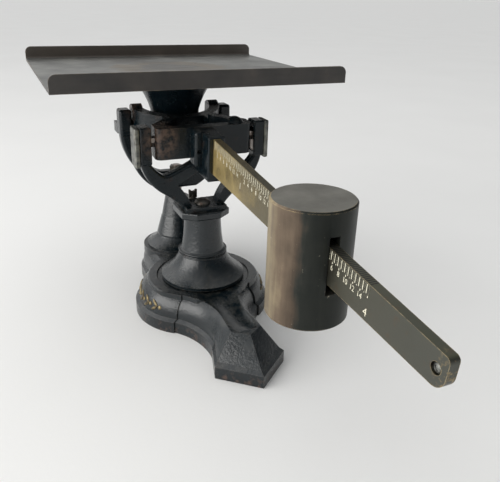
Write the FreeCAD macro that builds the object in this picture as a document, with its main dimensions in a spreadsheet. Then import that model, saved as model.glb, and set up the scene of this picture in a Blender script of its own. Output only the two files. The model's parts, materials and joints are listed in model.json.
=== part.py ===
import FreeCAD, Part
import math
import os
import Sketcher
from FreeCAD import Placement, Rotation, Vector

# A counter beam scale.  X runs along the tray, Y runs back from the beam tip towards the
# tray, Z is up.  The origin lies on the table directly under the fulcrum knife edges.
# The lever is built level around its fulcrum and then let down to its resting droop.

os.makedirs("parts", exist_ok=True)
doc = FreeCAD.newDocument("weighing_scale")

SIZES = {
    # overall
    "fulcrum_height": 165.0,
    "lever_arm": 81.0,
    "droop": 4.5,
    "beam_reach": 324.0,
    "tray_length": 254.0,
    "tray_depth": 216.0,
    "tray_rise": 52.0,
    # base casting
    "deck_height": 36.0,
    "plinth_height": 11.0,
    "base_wall": 5.0,
    "cast_radius": 1.5,
    "arm_radius": 2.8,
    "prow_reach": 143.5,
    "lobe_half": 66.0,
    "deck_radius": 54.0,
    "panel_step": 0.9,
    "rear_radius": 41.0,
    # columns
    "column_top": 105.0,
    "flange_half": 23.0,
    "flange_thick": 7.0,
    "neck_radius": 17.3,
    "bell_radius": 40.0,
    "guide_top": 89.0,
    "guide_radius": 12.4,
    "guide_bell_radius": "=lever_arm - bell_radius - 8",
    "guide_bore": 8.0,
    # yoke
    "yoke_half": 62.0,
    "yoke_thick": 11.0,
    "head_depth": 16.0,
    "yoke_head_top": 18.5,
    "yoke_head_drop": 14.0,
    # lever
    "lever_half": 44.0,
    "lever_rise": 18.0,
    "loop_rise": 13.5,
    "lever_drop": 9.5,
    "loop_radius": 44.0,
    "loop_wall": 10.0,
    # knife edges and their bearings
    "knife_half": 3.5,
    "knife_depth": 9.0,
    "knife_gap": 0.1,
    "bearing_half": 6.0,
    "bearing_deep": 10.0,
    "bearing_lip": 4.0,
    # beam and poise
    "beam_root": 37.0,
    "beam_tail": 12.0,
    "beam_thick": 6.0,
    "beam_root_depth": 31.0,
    "beam_tip_depth": 19.6,
    "tip_round": 8.0,
    "poise_radius": 26.6,
    "poise_height": 76.8,
    "poise_top": 17.0,
    "poise_reach": 197.0,
    "rider_radius": 1.5,
    "slot_clear": 0.35,
    # carrier
    "fork_half": 57.0,
    "fork_thick": 12.0,
    "fork_bottom": 72.0,
    "hub_radius": 20.0,
    "pillar_foot": 24.0,
    "pillar_head": 54.0,
    "stem_radius": 5.0,
    "tray_sheet": 2.5,
    "tray_rim": 14.5,
    "tray_corner": 6.0,
    # check link under the deck
    "link_height": 16.0,
    "link_pin_radius": 2.5,
    "running_fit": 0.05,
}

sheet = doc.addObject("Spreadsheet::Sheet", "dim")
for row, (alias, value) in enumerate(SIZES.items(), 1):
    sheet.set(f"A{row}", alias)
    sheet.set(f"B{row}", str(value))
    sheet.setAlias(f"B{row}", alias)
doc.recompute()

NODES = []


def bound(text):
    """An expression in sheet names, with each name pointed at the sheet."""
    words = []
    word = ""
    for letter in str(text) + " ":
        if letter.isalnum() or letter == "_" or letter == ".":
            word += letter
            continue
        words.append("dim." + word if word in SIZES else word)
        words.append(letter)
        word = ""
    return "".join(words).strip()


def value_of(text):
    """The number an expression in sheet names comes to."""
    result = sheet.evalExpression(bound(text))
    return float(getattr(result, "Value", result))


def place(item, at=("0", "0", "0"), axis=Vector(0, 0, 1), angle="0"):
    """Move an object to a point given as expressions, turned about an axis through it."""
    item.Placement = Placement(Vector(), Rotation(axis, 1))
    for key, text in zip("xyz", at):
        item.setExpression(f"Placement.Base.{key}", bound(text))
    item.setExpression("Placement.Rotation.Angle", bound(angle))
    return item


def solid(kind, name, at=("0", "0", "0"), axis=Vector(0, 0, 1), angle="0", **sizes):
    """A Part primitive whose sizes are expressions."""
    item = doc.addObject("Part::" + kind, name)
    for key, text in sizes.items():
        item.setExpression(key, bound(text))
    return place(item, at, axis, angle)


def block(name, low, high):
    """A box between two corners given as expressions."""
    length, width, height = (f"({b}) - ({a})" for a, b in zip(low, high))
    return solid("Box", name, low, Length=length, Width=width, Height=height)


def rod(name, at, radius, length, along="z"):
    """A cylinder that starts at a point and runs along one axis."""
    turn = {"x": (Vector(0, 1, 0), "90"), "y": (Vector(1, 0, 0), "-90"), "z": (Vector(0, 0, 1), "0")}
    return solid("Cylinder", name, at, *turn[along], Radius=radius, Height=length)


def fuse(name, *items):
    item = doc.addObject("Part::MultiFuse", name)
    item.Shapes = list(items)
    item.Refine = True
    return item


def cut(name, base, *tools):
    tool = tools[0] if len(tools) == 1 else fuse(name + "_tools", *tools)
    item = doc.addObject("Part::Cut", name)
    item.Base = base
    item.Tool = tool
    return item


def origin_plane(body, role):
    return next(plane for plane in body.Origin.OriginFeatures if plane.Role == role)


def outline(body, name, corners, role="XZ_Plane", offset=None):
    """A closed sketch through corners.  A corner is (across, up) or (across, up, radius);
    a radius makes the side that leaves it an arc, bulging right of travel when positive."""
    sketch = body.newObject("Sketcher::SketchObject", name)
    sketch.AttachmentSupport = [(origin_plane(body, role), "")]
    sketch.MapMode = "FlatFace"
    if offset is not None:
        sketch.setExpression("AttachmentOffset.Base.z", bound(offset))
    points = [Vector(value_of(corner[0]), value_of(corner[1]), 0) for corner in corners]
    ends = []
    for index, corner in enumerate(corners):
        start, stop = points[index], points[(index + 1) % len(points)]
        if len(corner) == 2:
            sketch.addGeometry(Part.LineSegment(start, stop), False)
            ends.append((1, 2))
            continue
        radius = value_of(corner[2])
        chord = stop - start
        side = Vector(-chord.y, chord.x, 0).normalize() * math.copysign(1, radius)
        reach = math.sqrt(radius ** 2 - (chord.Length / 2) ** 2)
        centre = (start + stop) * 0.5 + side * reach
        first, last = (start, stop) if radius > 0 else (stop, start)
        angles = [math.atan2(p.y - centre.y, p.x - centre.x) for p in (first, last)]
        circle = Part.Circle(centre, Vector(0, 0, 1), abs(radius))
        sketch.addGeometry(Part.ArcOfCircle(circle, *angles), False)
        ends.append((1, 2) if radius > 0 else (2, 1))
    for index, corner in enumerate(corners):
        following = (index + 1) % len(corners)
        sketch.addConstraint(Sketcher.Constraint(
            "Coincident", index, ends[index][1], following, ends[following][0]))
        for kind, text, number in zip(("DistanceX", "DistanceY"), corner, points[index]):
            made = sketch.addConstraint(Sketcher.Constraint(
                kind, -1, 1, index, ends[index][0], number))
            sketch.setExpression(f"Constraints[{made}]", bound(text))
        if len(corner) == 3:
            made = sketch.addConstraint(Sketcher.Constraint(
                "Radius", index, abs(value_of(corner[2]))))
            sketch.setExpression(f"Constraints[{made}]", bound(f"abs({corner[2]})"))
    return sketch


def plate(name, corners, thickness, role="XZ_Plane", both=True, offset=None, soft=None):
    """A body: an outline padded by a thickness, half to each side unless told otherwise.
    soft is the radius that rounds all its edges, as a casting's are."""
    body = doc.addObject("PartDesign::Body", name)
    sketch = outline(body, name + "_outline", corners, role, offset)
    pad = body.newObject("PartDesign::Pad", name + "_pad")
    pad.Profile = sketch
    pad.Midplane = both
    pad.setExpression("Length", bound(thickness))
    if soft is not None:
        rounding = body.newObject("PartDesign::Fillet", name + "_rounding")
        rounding.Base = (pad, [""])
        rounding.UseAllEdges = True
        rounding.setExpression("Radius", bound(soft))
    return body


def soft_block(name, low, high, soft="cast_radius"):
    """A block between two corners with all its edges rounded."""
    (x0, y0, z0), (x1, y1, z1) = low, high
    return plate(name, [(x0, y0), (x1, y0), (x1, y1), (x0, y1)], f"({z1}) - ({z0})",
                 "XY_Plane", False, z0, soft)


def mirrored(near, far, side):
    """The two ends of a span across the scale, on the side asked for."""
    return (near, far) if side == "right" else (f"-({far})", f"-({near})")


def turned(name, corners):
    """A body of revolution about Z; corners are (radius, height)."""
    body = doc.addObject("PartDesign::Body", name)
    sketch = outline(body, name + "_outline", corners)
    lathe = body.newObject("PartDesign::Revolution", name + "_turn")
    lathe.Profile = sketch
    lathe.ReferenceAxis = (sketch, ["V_Axis"])
    lathe.Angle = 360
    return body


def loft(name, sections, role="XY_Plane", ruled=False):
    """A body lofted through outlines, each given with its distance from the plane."""
    body = doc.addObject("PartDesign::Body", name)
    sketches = [outline(body, f"{name}_level_{n}", corners, role, height)
                for n, (height, corners) in enumerate(sections)]
    skin = body.newObject("PartDesign::AdditiveLoft", name + "_loft")
    skin.Profile = sketches[0]
    skin.Sections = sketches[1:]
    skin.Ruled = ruled
    return body


def node(name, item):
    """Name an object as one finished piece of the scale."""
    item.Label = name
    NODES.append(item)
    return item


# ---------------------------------------------------------------- where the moving parts rest
LEVER_AT = ("0", "0", "fulcrum_height")
TILT = Vector(1, 0, 0)
LOAD_Y = "lever_arm * cos(droop)"
LOAD_RISE = "lever_arm * sin(droop)"
CARRIER_AT = ("0", LOAD_Y, f"fulcrum_height + {LOAD_RISE}")


def on_lever(item):
    return place(item, LEVER_AT, TILT, "droop")


def on_carrier(item):
    return place(item, CARRIER_AT)


# ---------------------------------------------------------------- base casting
def footprint(inset, prow, foot, foot_y, waist, waist_y):
    """Outline of the base at one level: V prow, foot, waist, raised side panels, round rear."""
    shoulder = f"lobe_half * 0.65 - ({inset}) * 1.05"
    shoulder_y = f"lobe_half * 0.62 - ({inset}) * 0.5"
    hip_y = f"lobe_half * 0.74 - ({inset}) * 0.7"
    rear = f"rear_radius - ({inset}) * 0.8"
    lobe = f"lobe_half * 0.85 - ({inset})"
    right = [
        (foot, f"-({foot_y})"),
        (waist, f"-({waist_y})", "-64"),
        (f"{shoulder} - panel_step", f"panel_step - ({shoulder_y})"),
        (shoulder, f"-({shoulder_y})", lobe),
        (shoulder, hip_y),
        (f"{shoulder} - panel_step", f"{hip_y} - panel_step * 0.5"),
        (rear, "lever_arm", rear),
    ]
    left = [
        (f"-({rear})", "lever_arm"),
        (f"panel_step - ({shoulder})", f"{hip_y} - panel_step * 0.5"),
        (f"-({shoulder})", hip_y, lobe),
        (f"-({shoulder})", f"-({shoulder_y})"),
        (f"panel_step - ({shoulder})", f"panel_step - ({shoulder_y})", "-64"),
        (f"-({waist})", f"-({waist_y})"),
        (f"-({foot})", f"-({foot_y})"),
    ]
    back = [("0", f"lever_arm + {rear}", rear)]
    return [("0", f"-({prow})")] + right + back + left


def swollen(rise, share):
    """The outline above the plinth: the flanks draw in by share and the flat foot by rise."""
    return footprint(f"3 + 9 * {share}", f"prow_reach - 5 - 23 * {rise}", f"28 - 14.5 * {rise}",
                     f"prow_reach - 30 - 7.5 * {rise}", f"21.5 - 9.5 * {share}", f"89 - 5 * {share}")


GROUND = footprint("0", "prow_reach", "31.5", "prow_reach - 27", "24", "90")
HOLLOW_LOW = footprint("5", "prow_reach - 8", "26", "prow_reach - 32", "18", "85")
HOLLOW_HIGH = footprint("16", "46", "8", "42", "7", "38")
SWELL_LOW = "plinth_height + 2.5"
SWELL_RISE = "(deck_height - plinth_height - 4.5)"
TURN = math.radians(70)
ROUND = [(math.sin(TURN * part) / math.sin(TURN), (1 - math.cos(TURN * part)) / (1 - math.cos(TURN)))
         for part in (0, 0.35, 0.7, 1)]
plinth = plate("plinth", GROUND, "plinth_height", "XY_Plane", False)
step = loft("plinth_step", [("plinth_height", GROUND), (SWELL_LOW, swollen("0", "0"))], ruled=True)
swell = loft("swell", [(f"{SWELL_LOW} + {SWELL_RISE} * {rise:.4f}", swollen(f"{rise:.4f}", f"{share:.4f}"))
                       for rise, share in ROUND])
deck_disc = turned("deck_disc", [
    ("0", "deck_height - 9"), ("deck_radius - 4", "deck_height - 9"),
    ("deck_radius", "deck_height - 4", "3"), ("deck_radius - 2", "deck_height"),
    ("bell_radius + 5", "deck_height"), ("bell_radius + 4", "deck_height - 1.2"),
    ("bell_radius - 2", "deck_height - 1.2"), ("bell_radius - 2", "deck_height"), ("0", "deck_height")])
deck_trim = plate("deck_trim", footprint("8.5", "prow_reach - 20", "18", "prow_reach - 34", "15", "86"),
                  "deck_height", "XY_Plane", False, "2")
front_deck = doc.addObject("Part::MultiCommon", "front_deck")
front_deck.Shapes = [deck_disc, deck_trim]
rear_deck = rod("rear_deck", ("0", "lever_arm", "deck_height - 9"), "rear_radius - 4", "9")
hollow = loft("hollow", [
    ("-1", HOLLOW_LOW), ("plinth_height", HOLLOW_LOW),
    ("deck_height - base_wall", HOLLOW_HIGH)], ruled=True)
# each row: distance forward, half width, drop of its edges, drop of its floor
VALLEY = (("30", "35", "0", "1.5"), ("42", "26", "0.5", "3"), ("56", "17", "1", "4.2"),
          ("80", "11", "2", "6"), ("108", "9", "2", "4"))
valley = loft("valley", [
    (y, [(f"-{half}", f"deck_height - {edge}",
          f"({half} ^ 2 + ({floor} - {edge}) ^ 2) / 2 / ({floor} - {edge})"),
         (half, f"deck_height - {edge}"), (half, "deck_height + 8"), (f"-{half}", "deck_height + 8")])
    for y, half, edge, floor in VALLEY], "XZ_Plane")
base_blank = fuse("base_blank", plinth, step, swell, front_deck, rear_deck)
TIE_X = "13"
SIDES = ("", "-1 *")
tie_holes = [rod(f"tie_hole_{n}", (f"{sign} {TIE_X}", "0", "0"), "2.7", "deck_height + 1")
             for n, sign in enumerate(SIDES)]
stem_hole = rod("stem_hole", ("0", "lever_arm", "0"), "guide_bore + 1", "deck_height + 1")
GUIDE_SCREW_X = "guide_bell_radius * 0.66"
guide_holes = [rod(f"guide_hole_{n}", (f"{sign} {GUIDE_SCREW_X}", "lever_arm", "0"), "2.2",
                   "deck_height + 1")
               for n, sign in enumerate(SIDES)]
node("base_casting", cut("base_cut", base_blank, hollow, valley, stem_hole, *tie_holes, *guide_holes))

# ---------------------------------------------------------------- columns
front_column = turned("front_column", [
    ("0", "deck_height + 26"), ("neck_radius - 4", "deck_height + 26"),
    ("bell_radius - 6", "deck_height + 5"), ("bell_radius - 6", "deck_height"),
    ("bell_radius", "deck_height"), ("bell_radius", "deck_height + 3", "-46"),
    ("neck_radius + 4.5", "deck_height + 25"), ("neck_radius + 5", "deck_height + 27"),
    ("neck_radius + 3", "deck_height + 29", "-170"),
    ("neck_radius", "column_top - flange_thick"), ("0", "column_top - flange_thick")])
flange = plate("flange", [
    ("-flange_half * 0.5", "-19"), ("flange_half * 0.5", "-19"), ("flange_half", "-10"),
    ("flange_half", "19"), ("flange_half * 0.5", "25"), ("-flange_half * 0.5", "25"),
    ("-flange_half", "19"), ("-flange_half", "-10")],
    "flange_thick", "XY_Plane", False, "column_top - flange_thick", "cast_radius")
tie_taps = [rod(f"tie_tap_{n}", (f"{sign} {TIE_X}", "0", "deck_height + 20"), "2.5", "18")
            for n, sign in enumerate(SIDES)]
screw_bore = rod("screw_bore", ("0", "0", "column_top - 22"), "3", "22")
rear_bore = rod("rear_bore", ("-3", "19", "column_top - 12"), "1.5", "12")
node("fulcrum_column", cut("column_cut", fuse("column_blank", front_column, flange),
                           screw_bore, rear_bore, *tie_taps))

guide = turned("guide_turning", [
    ("guide_bore", "deck_height"), ("guide_bell_radius", "deck_height"),
    ("guide_bell_radius", "deck_height + 2", "-30"),
    ("guide_radius + 9.5", "deck_height + 12"), ("guide_radius + 9.5", "deck_height + 14"),
    ("guide_radius + 4.8", "deck_height + 31"), ("guide_radius + 4", "deck_height + 33"),
    ("guide_radius", "guide_top"), ("guide_bore", "guide_top")])
place(guide, ("0", "lever_arm", "0"))
guide_taps = [rod(f"guide_tap_{n}", (f"{sign} {GUIDE_SCREW_X}", "lever_arm", "deck_height"), "2", "5")
              for n, sign in enumerate(SIDES)]
node("guide_column", cut("guide_cut", guide, *guide_taps))


def screw(name, at, radius, head, length, down=True):
    """A slotted screw with its head seat at a point: a domed head on a plain shank."""
    rise = head * 0.6
    shank = rod(name + "_shank", ("0", "0", f"-{length}"), radius, length)
    dome = turned(name + "_dome", [
        ("0", "0"), (str(head), "0"), (str(head), "0.8", str(head * 1.05)),
        ("1.2", str(rise)), ("0", str(rise))])
    groove = block(name + "_groove", (f"-{head}", "-0.6", str(rise - 1.6)),
                   (str(head), "0.6", str(rise + 1)))
    whole = cut(name + "_cut", fuse(name + "_blank", shank, dome), groove)
    return place(whole, at, TILT, "0" if down else "180")


YOKE_FOOT = "4"
node("yoke_screw", screw("yoke_screw", ("0", "0", f"column_top + {YOKE_FOOT}"), "3", 7.5, "24"))
node("guide_screws", fuse("guide_screws", *[
    screw(f"guide_screw_{n}", (f"{sign} {GUIDE_SCREW_X}", "lever_arm", "deck_height - base_wall"),
          "2", 4, "9.5", False) for n, sign in enumerate(SIDES)]))

# ---------------------------------------------------------------- yoke, its bearings and caps
TOP = "fulcrum_height + yoke_head_top"
LOW = "fulcrum_height - yoke_head_drop"
ROOT = f"{LOW} + 6"
ARCH_TOP = "fulcrum_height - lever_drop - 4.8"
INNER = "yoke_half - 14.5"
yoke_arms = plate("yoke_arms", [
    ("-19", "column_top"), ("19", "column_top", "-60"), ("37", "column_top + 17", "46"),
    ("yoke_half - 5", LOW), ("yoke_half - 5", ROOT),
    (f"{INNER} + 0.5", ROOT), (f"{INNER} + 0.5", LOW, "-40"),
    (f"{INNER} - 10", f"{LOW} - 11", "-9"), (f"{INNER} - 15", f"{LOW} - 11", "-200"),
    ("9", ARCH_TOP, "14"), ("-9", ARCH_TOP, "-200"),
    (f"15 - ({INNER})", f"{LOW} - 11", "-9"), (f"10 - ({INNER})", f"{LOW} - 11", "-40"),
    (f"-({INNER} + 0.5)", LOW), (f"-({INNER} + 0.5)", ROOT), ("5 - yoke_half", ROOT),
    ("5 - yoke_half", LOW, "46"), ("-37", "column_top + 17", "-60")],
    "yoke_thick", soft="arm_radius")
EYE = [("-12", f"column_top + {YOKE_FOOT}"), ("12", f"column_top + {YOKE_FOOT}", "-60"),
       ("25", "column_top + 25", "-200"), ("5", f"{ARCH_TOP} - 9", "10"), ("-5", f"{ARCH_TOP} - 9", "-200"),
       ("-25", "column_top + 25", "-60")]
yoke_eye = plate("yoke_eye", EYE, "yoke_thick + 4")
yoke_foot = plate("yoke_foot", [
    ("-19", "-14"), ("19", "-14"), ("19", "14"), ("-19", "14")],
    YOKE_FOOT, "XY_Plane", False, "column_top")
heads = []
pockets = []
for side in ("left", "right"):
    low_x, high_x = mirrored(INNER, "yoke_half - 4.5", side)
    heads.append(soft_block(f"yoke_head_{side}", (low_x, "-head_depth / 2", LOW),
                            (high_x, "head_depth / 2", TOP)))
    low_x, high_x = mirrored("yoke_half - 16", "yoke_half - 4", side)
    pockets.append(block(f"yoke_pocket_{side}", (low_x, "-bearing_half", "fulcrum_height - bearing_deep"),
                         (high_x, "bearing_half", "fulcrum_height + 12.5")))
yoke_hole = rod("yoke_hole", ("0", "0", "column_top - 1"), "3.1", "12")
yoke_blank = fuse("yoke_blank", yoke_arms, yoke_foot, *heads)
node("yoke", cut("yoke_cut", yoke_blank, yoke_eye, yoke_hole, *pockets))

for side in ("left", "right"):
    low_x, high_x = mirrored("yoke_half - 4.5", "yoke_half", side)
    node(f"yoke_cap_{side}", soft_block(f"yoke_cap_blank_{side}", (low_x, "-head_depth / 2", f"{LOW} - 2"),
                                        (high_x, "head_depth / 2", TOP)))


def bearing(name, x_low, x_high, upward):
    """A hardened block with a V that a knife edge sits in, at the origin of the knife."""
    s = "" if upward else "-1 *"
    body = plate(name, [
        ("-bearing_half", f"{s} (-bearing_deep)"), ("bearing_half", f"{s} (-bearing_deep)"),
        ("bearing_half", f"{s} bearing_lip"), ("bearing_lip * 1.3 + knife_gap", f"{s} bearing_lip"),
        ("0", f"{s} (-knife_gap)"), ("-bearing_lip * 1.3 - knife_gap", f"{s} bearing_lip"),
        ("-bearing_half", f"{s} bearing_lip")], f"({x_high}) - ({x_low})", "YZ_Plane", False, x_low)
    return body


for side in ("left", "right"):
    low_x, high_x = mirrored("yoke_half - 13", "yoke_half - 4.5", side)
    seat = bearing(f"fulcrum_bearing_body_{side}", low_x, high_x, True)
    node(f"fulcrum_bearing_{side}", place(seat, LEVER_AT))

# ---------------------------------------------------------------- lever
RIM = "loop_radius"
INSIDE = "loop_radius - loop_wall"
WAIST = "24"
NECK_Y = f"lever_arm - sqrt({RIM} * {RIM} - {WAIST} * {WAIST})"
TIP_Y = f"lever_arm - ({INSIDE}) * sin(10)"
lever_plan = plate("lever_plan", [
    ("-lever_half + 5", "-9"), ("lever_half - 5", "-9", "5"), ("lever_half", "-4"),
    ("lever_half", "6"), ("lever_half - 5", "11"), (WAIST, "27"), (WAIST, NECK_Y, RIM),
    (RIM, "lever_arm"), (RIM, "lever_arm + 7"), (INSIDE, "lever_arm + 7"),
    (f"({INSIDE}) * cos(10)", TIP_Y, f"-({INSIDE})"), (f"-({INSIDE}) * cos(10)", TIP_Y),
    (f"-({INSIDE})", "lever_arm + 7"), (f"-{RIM}", "lever_arm + 7"),
    (f"-{RIM}", "lever_arm", RIM), (f"-{WAIST}", NECK_Y), (f"-{WAIST}", "27"),
    ("5 - lever_half", "11"), ("-lever_half", "6"), ("-lever_half", "-4", "5")],
    "lever_rise + lever_drop", "XY_Plane", False, "-lever_drop")
loop_trim = block("loop_trim", ("-lever_half - 2", "30", "loop_rise"),
                  ("lever_half + 2", "lever_arm + 12", "lever_rise + 2"))
loop_ends = [rod(f"loop_end_{side}", (mirrored(INSIDE, RIM, side)[0], "lever_arm", "loop_rise - 4"),
                 "7", "loop_wall", "x") for side in ("left", "right")]
boss = solid("Sphere", "lever_boss", ("lever_half - 13", "1", "lever_rise - 4.5"), Radius="9")
window = plate("lever_window", [
    ("-lever_half + 11", "-1"), ("lever_half - 11", "-1"), ("lever_half - 11", "4"),
    (f"{WAIST} - 8", "24"), (f"{WAIST} - 8", f"{NECK_Y} - 5"), (f"8 - {WAIST}", f"{NECK_Y} - 5"),
    (f"8 - {WAIST}", "24"), ("11 - lever_half", "4")],
    "lever_rise + lever_drop + 4", "XY_Plane", False, "-lever_drop - 2")
rib = soft_block("lever_rib", ("-14", "-22", "-lever_drop - 5"), ("-6", "-7", "lever_rise - 0.5"),
                 "arm_radius")
SOCKET_LOW = "-beam_root_depth / 2 - 7"
socket = soft_block("lever_socket", ("-7.5", "-beam_root", SOCKET_LOW), ("7.5", "-8", "lever_rise - 1"))


def beam_profile(grow, root):
    """Side view of the beam (along Y, up): straight taper to a tip rounded more below."""
    slope = "(beam_root_depth - beam_tip_depth) / 2 / (beam_reach - beam_root)"
    fat = f"beam_root_depth / 2 + (beam_root - ({root})) * {slope} + ({grow})"
    thin = f"beam_tip_depth / 2 + ({grow})"
    return [(f"-({root})", f"-({fat})"), (f"-({root})", fat), ("-beam_reach + 3", thin, "3.2"),
            ("-beam_reach", f"{thin} - 3"), ("-beam_reach", f"tip_round - ({thin})", "tip_round + 0.1"),
            ("-beam_reach + tip_round", f"-({thin})")]


beam_plate = plate("beam_plate", beam_profile("0", "beam_tail"), "beam_thick", "YZ_Plane")
beam_slot = plate("beam_slot", beam_profile("0", "beam_tail - 0.2"), "beam_thick", "YZ_Plane")
eye = rod("beam_eye", ("-beam_thick", "-beam_reach + 7", "0"), "3.3", "beam_thick * 2", "x")
RIVETS = (("beam_root - 6", "8"), ("beam_root - 6", "-8"), ("beam_root - 16", "0"))
rivet_holes = [rod(f"rivet_hole_{n}", ("-12", f"-({y})", z), "2", "24", "x")
               for n, (y, z) in enumerate(RIVETS)]
rivets = [rod(f"rivet_{n}", ("-7.6", f"-({y})", z), "2", "15.2", "x") for n, (y, z) in enumerate(RIVETS)]


def knife(name, low_x, high_x, upward):
    """A hardened bar with one ground edge, the edge running through the origin."""
    s = "-1 *" if upward else ""
    shoulder = "knife_half * 1.5"
    return plate(name, [
        ("0", "0"), ("knife_half", f"{s} {shoulder}"), ("knife_half", f"{s} knife_depth"),
        ("-knife_half", f"{s} knife_depth"), ("-knife_half", f"{s} {shoulder}")],
        f"({high_x}) - ({low_x})", "YZ_Plane", False, low_x)


KNIVES = {
    "fulcrum": ("lever_half - 10", "yoke_half - 5", False, "0"),
    "load": ("loop_radius - loop_wall", "fork_half - 5", True, "lever_arm"),
}
knives = {}
for kind, (near_x, far_x, upward, y) in KNIVES.items():
    for side in ("left", "right"):
        low_x, high_x = mirrored(near_x, far_x, side)
        bar = knife(f"{kind}_bar_{side}", low_x, high_x, upward)
        knives[kind, side] = place(bar, ("0", y, "0"))
lever_frame = cut("lever_frame", lever_plan, loop_trim)
lever_blank = fuse("lever_blank", lever_frame, rib, socket, boss, *loop_ends)
lever_cut = cut("lever_cut", lever_blank, window, beam_slot, *rivet_holes, *knives.values())
node("lever_casting", on_lever(lever_cut))
for (kind, side), bar in knives.items():
    moved = doc.addObject("Part::Compound", f"{kind}_knife_{side}_set")
    moved.Links = [bar]
    node(f"{kind}_knife_{side}", on_lever(moved))
beam_rivet_holes = [rod(f"beam_rivet_hole_{n}", ("-12", f"-({y})", z), "2", "24", "x")
                    for n, (y, z) in enumerate(RIVETS)]
node("beam", on_lever(cut("beam_cut", beam_plate, eye, *beam_rivet_holes)))
node("beam_rivets", on_lever(fuse("beam_rivets", *rivets)))

# ---------------------------------------------------------------- poise and its rider
TAPER = "atan((beam_root_depth - beam_tip_depth) / 2 / (beam_reach - beam_root))"
BEAM_TOP = ("beam_tip_depth / 2 + (beam_reach - poise_reach)"
            " * (beam_root_depth - beam_tip_depth) / 2 / (beam_reach - beam_root)")
RIDER_Y = "-poise_reach"
RIDER_Z = f"{BEAM_TOP} + rider_radius / cos({TAPER}) + running_fit"
POISE_AT = ("0",
            f"({RIDER_Y}) * cos(droop) - ({RIDER_Z}) * sin(droop)",
            f"fulcrum_height + ({RIDER_Y}) * sin(droop) + ({RIDER_Z}) * cos(droop)")
RIDER_HALF = "beam_thick / 2 + 8"
rider = rod("rider_pin", (f"-({RIDER_HALF})", "0", "0"), "rider_radius", f"2 * ({RIDER_HALF})", "x")
rider_set = doc.addObject("Part::Compound", "rider_set")
rider_set.Links = [rider]
node("poise_rider", place(rider_set, POISE_AT))
poise_round = turned("poise_round", [
    ("0", "poise_top - poise_height"), ("poise_radius - 0.8", "poise_top - poise_height"),
    ("poise_radius", "poise_top - poise_height + 0.8"), ("poise_radius", "poise_top - 1"),
    ("poise_radius - 1", "poise_top"), ("0", "poise_top")])
SLOT_HALF = "beam_thick / 2 + slot_clear"
poise_slot = block("poise_slot", (f"-({SLOT_HALF})", "-poise_radius - 1", "-35.5"),
                   (SLOT_HALF, "poise_radius + 1", "1.8"))
rider_bore = rod("rider_bore", (f"-({RIDER_HALF}) - 0.3", "0", "0"), "rider_radius + running_fit",
                 f"2 * ({RIDER_HALF}) + 0.6", "x")
node("poise", place(cut("poise_cut", poise_round, poise_slot, rider_bore), POISE_AT))

# ---------------------------------------------------------------- carrier: fork, pillar, tray
FORK_IN = "fork_half - 12"
fork_arms = plate("fork_arms", [
    ("-20", "-fork_bottom"), ("20", "-fork_bottom", "46"), ("44", "-fork_bottom + 26", "62"),
    ("fork_half - 0.6", "-14"), ("fork_half - 0.6", "-7"), (f"{FORK_IN} + 0.6", "-7"),
    (f"{FORK_IN} + 0.6", "-16", "-56"), ("34", "-fork_bottom + 31", "-36"),
    ("16", "-fork_bottom + 19"), ("-16", "-fork_bottom + 19", "-36"), ("-34", "-fork_bottom + 31", "-56"),
    (f"-({FORK_IN} + 0.6)", "-16"), (f"-({FORK_IN} + 0.6)", "-7"),
    ("0.6 - fork_half", "-7"), ("0.6 - fork_half", "-14", "62"), ("-44", "-fork_bottom + 26", "46")],
    "fork_thick", soft="arm_radius")
fork_parts = [fork_arms]
fork_pockets = []
for side in ("left", "right"):
    low_x, high_x = mirrored(FORK_IN, "fork_half", side)
    fork_parts.append(soft_block(f"fork_head_{side}", (low_x, "-8", "-14"), (high_x, "8", "12"),
                                 "arm_radius"))
    fork_parts.append(block(f"fork_strap_{side}", (low_x, "6", "-13"), (high_x, "21", "-3")))
    low_x, high_x = mirrored("fork_half - 13", "fork_half - 4", side)
    fork_pockets.append(block(f"fork_pocket_{side}", (low_x, "-bearing_half", "-12.5"),
                              (high_x, "bearing_half", "bearing_deep")))
fork_parts.append(block("fork_bridge", ("-fork_half", "13", "-13"), ("fork_half", "21", "-3")))
fork_parts.append(rod("fork_hub", ("0", "0", "-13"), "hub_radius", "17"))
hub_bore = rod("hub_bore", ("0", "0", "-14"), "4.2", "20")
stem_bore = rod("stem_bore", ("0", "0", "-fork_bottom - 1"), "stem_radius - 1", "24")
fork_blank = fuse("fork_blank", *fork_parts)
node("carrier_fork", on_carrier(cut("fork_cut", fork_blank, hub_bore, stem_bore, *fork_pockets)))
for side in ("left", "right"):
    low_x, high_x = mirrored("fork_half - 11.5", "fork_half - 4", side)
    seat = bearing(f"load_bearing_body_{side}", low_x, high_x, False)
    node(f"load_bearing_{side}", on_carrier(seat))

TRAY_Z = f"tray_rise - {LOAD_RISE}"
pillar = turned("pillar_turning", [
    ("0", "4"), ("pillar_foot - 1", "4"), ("pillar_foot", "5"), ("pillar_foot", "9", "-75"),
    ("pillar_head - 12", f"{TRAY_Z} - 4"), ("pillar_head", f"{TRAY_Z} - 4"),
    ("pillar_head", TRAY_Z), ("pillar_head - 20", TRAY_Z),
    ("pillar_foot - 6", "14"), ("0", "14")])
pillar_bore = rod("pillar_bore", ("0", "0", "3"), "4.2", "20")
RIVET_AT = "(pillar_head - 6) * 0.7071"
TRAY_RIVETS = [(f"{a} {RIVET_AT}", f"{b} {RIVET_AT}") for a in SIDES for b in SIDES]
pillar_taps = [rod(f"pillar_tap_{n}", (x, y, f"{TRAY_Z} - 8"), "2", "10")
               for n, (x, y) in enumerate(TRAY_RIVETS)]
node("pillar", on_carrier(cut("pillar_cut", pillar, pillar_bore, *pillar_taps)))
bolt_head = solid("Prism", "bolt_head", ("0", "0", "-19"), Polygon="6", Circumradius="7.5", Height="6")
bolt_shank = rod("bolt_shank", ("0", "0", "-13"), "4.2", "31")
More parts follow.
